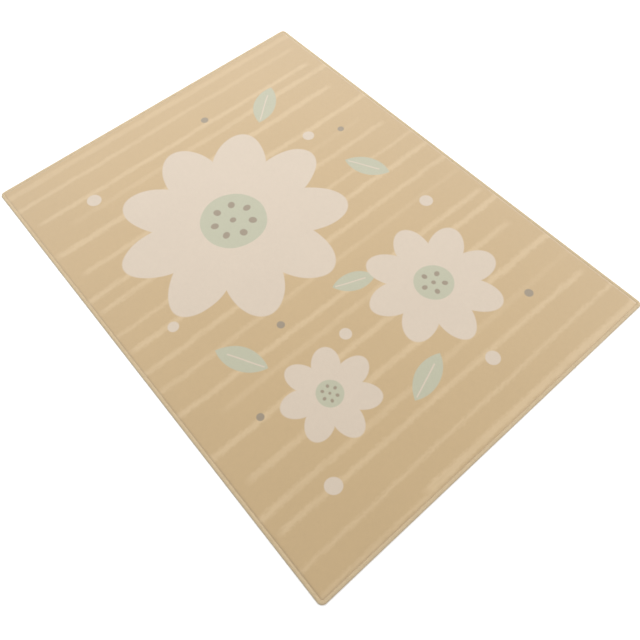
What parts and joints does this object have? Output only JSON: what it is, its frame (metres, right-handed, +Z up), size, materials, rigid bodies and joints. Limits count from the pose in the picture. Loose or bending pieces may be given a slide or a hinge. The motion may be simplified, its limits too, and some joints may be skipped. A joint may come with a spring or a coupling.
{
  "type": "rectangular kids rug",
  "caption": "Flat rectangular short-pile kids rug with rounded corners and an overlocked yarn edge, printed with soft uneven stripes, plain flowers and leaves.",
  "frame": {"origin": "on the floor, under the middle of the rug", "axes": "+X runs across the rug, +Y runs along it towards the top of its print, +Z points up out of the pile"},
  "size_m": [1.33, 1.8, 0.007],
  "materials": {
    "printed_velour": "matt cut pile, printed",
    "overlock_yarn": "textured polyester yarn, overlocked"
  },
  "bodies": {
    "root": {"rug_panel": "printed_velour", "edge_overlock": "overlock_yarn"}
  },
  "joints": []
}
